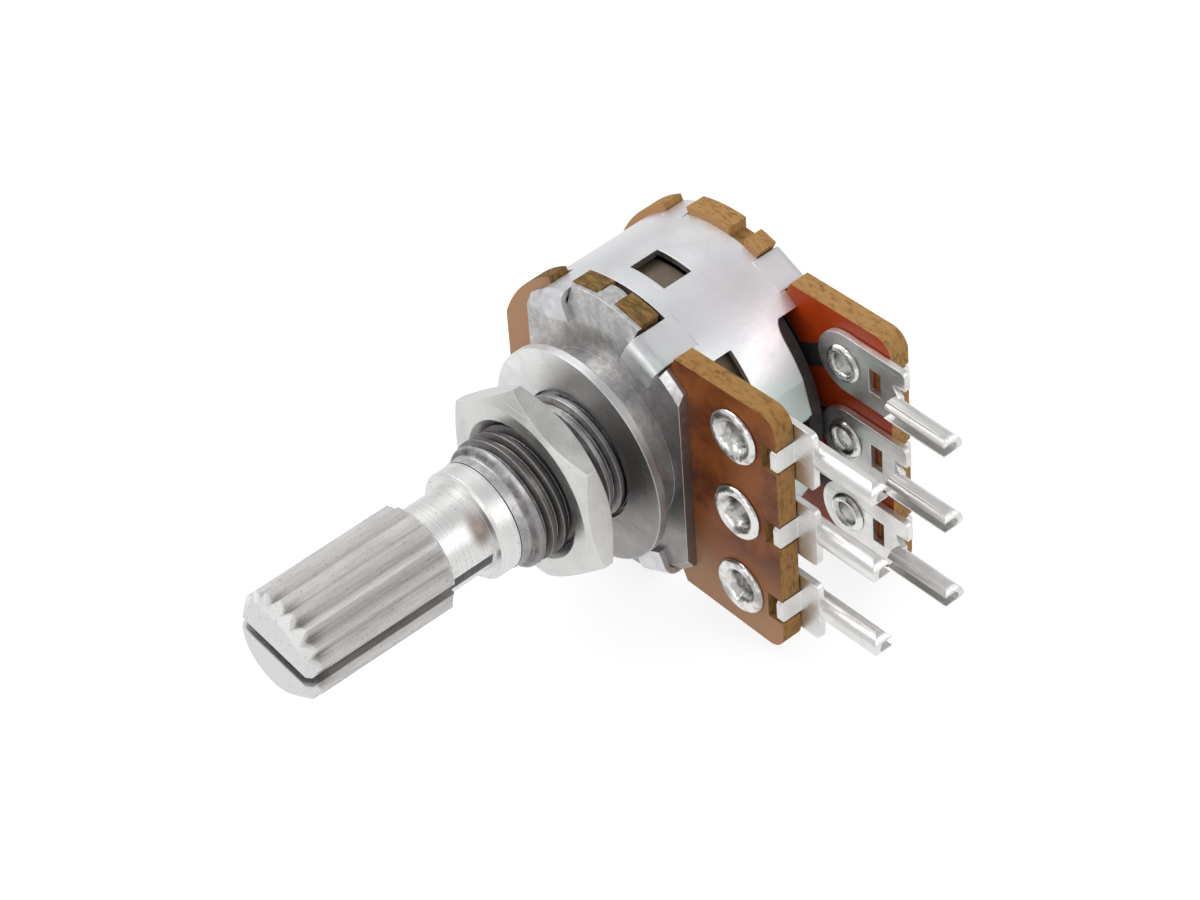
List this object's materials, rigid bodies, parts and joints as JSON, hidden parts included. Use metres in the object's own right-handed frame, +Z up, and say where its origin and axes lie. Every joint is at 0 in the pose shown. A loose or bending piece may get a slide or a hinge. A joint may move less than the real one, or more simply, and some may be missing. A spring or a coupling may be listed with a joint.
{
  "type": "rotary potentiometer",
  "caption": "Twin-section rotary potentiometer with knurled split shaft, threaded bush with nut and washer, folded sheet cover and two rows of solder pins.",
  "frame": {"origin": "on the shaft axis, at the mounting face that the washer lies on", "axes": "-Y along the shaft towards its tip, +X towards the solder pins, +Z up"},
  "size_m": [0.0251, 0.0317, 0.017],
  "materials": {
    "shaft_steel": "turned and knurled, matt nickel plate",
    "cast_zinc": "satin nickel plate",
    "nut_steel": "bright nickel plate",
    "cover_steel": "bright zinc plate, faint iridescence",
    "clip_steel": "plain spring steel",
    "board_front": "phenolic paper board, tan sawn edge",
    "board_rear": "phenolic paper board, red-orange, tan sawn edge",
    "rotor_front": "moulded, matt",
    "rotor_rear": "moulded, matt",
    "spring_bronze": "rolled strip",
    "carbon": "printed carbon film",
    "silver": "printed silver film",
    "tinned": "tin plated strip",
    "eyelet": "tinned brass"
  },
  "bodies": {
    "housing": {"bush_plate": "cast_zinc", "hex_nut": "nut_steel", "flat_washer": "nut_steel", "front_wafer": "board_front", "rear_wafer": "board_rear", "cover": "cover_steel", "front_track": "carbon", "rear_track": "carbon", "front_collector": "silver", "rear_collector": "silver", "front_terminal_1": "tinned", "front_eyelet_1": "eyelet", "front_terminal_2": "tinned", "front_eyelet_2": "eyelet", "front_terminal_3": "tinned", "front_eyelet_3": "eyelet", "rear_terminal_1": "tinned", "rear_eyelet_1": "eyelet", "rear_terminal_2": "tinned", "rear_eyelet_2": "eyelet", "rear_terminal_3": "tinned", "rear_eyelet_3": "eyelet"},
    "rotor": {"shaft": "shaft_steel", "retaining_clip": "clip_steel", "front_rotor": "rotor_front", "rear_rotor": "rotor_rear", "front_wiper": "spring_bronze", "rear_wiper": "spring_bronze"}
  },
  "joints": [
    {"name": "shaft_turn", "type": "hinge", "parent": "housing", "child": "rotor", "pos_m": [0, 0, 0], "axis": [0, 1, 0], "range_deg": [-150, 150]}
  ]
}
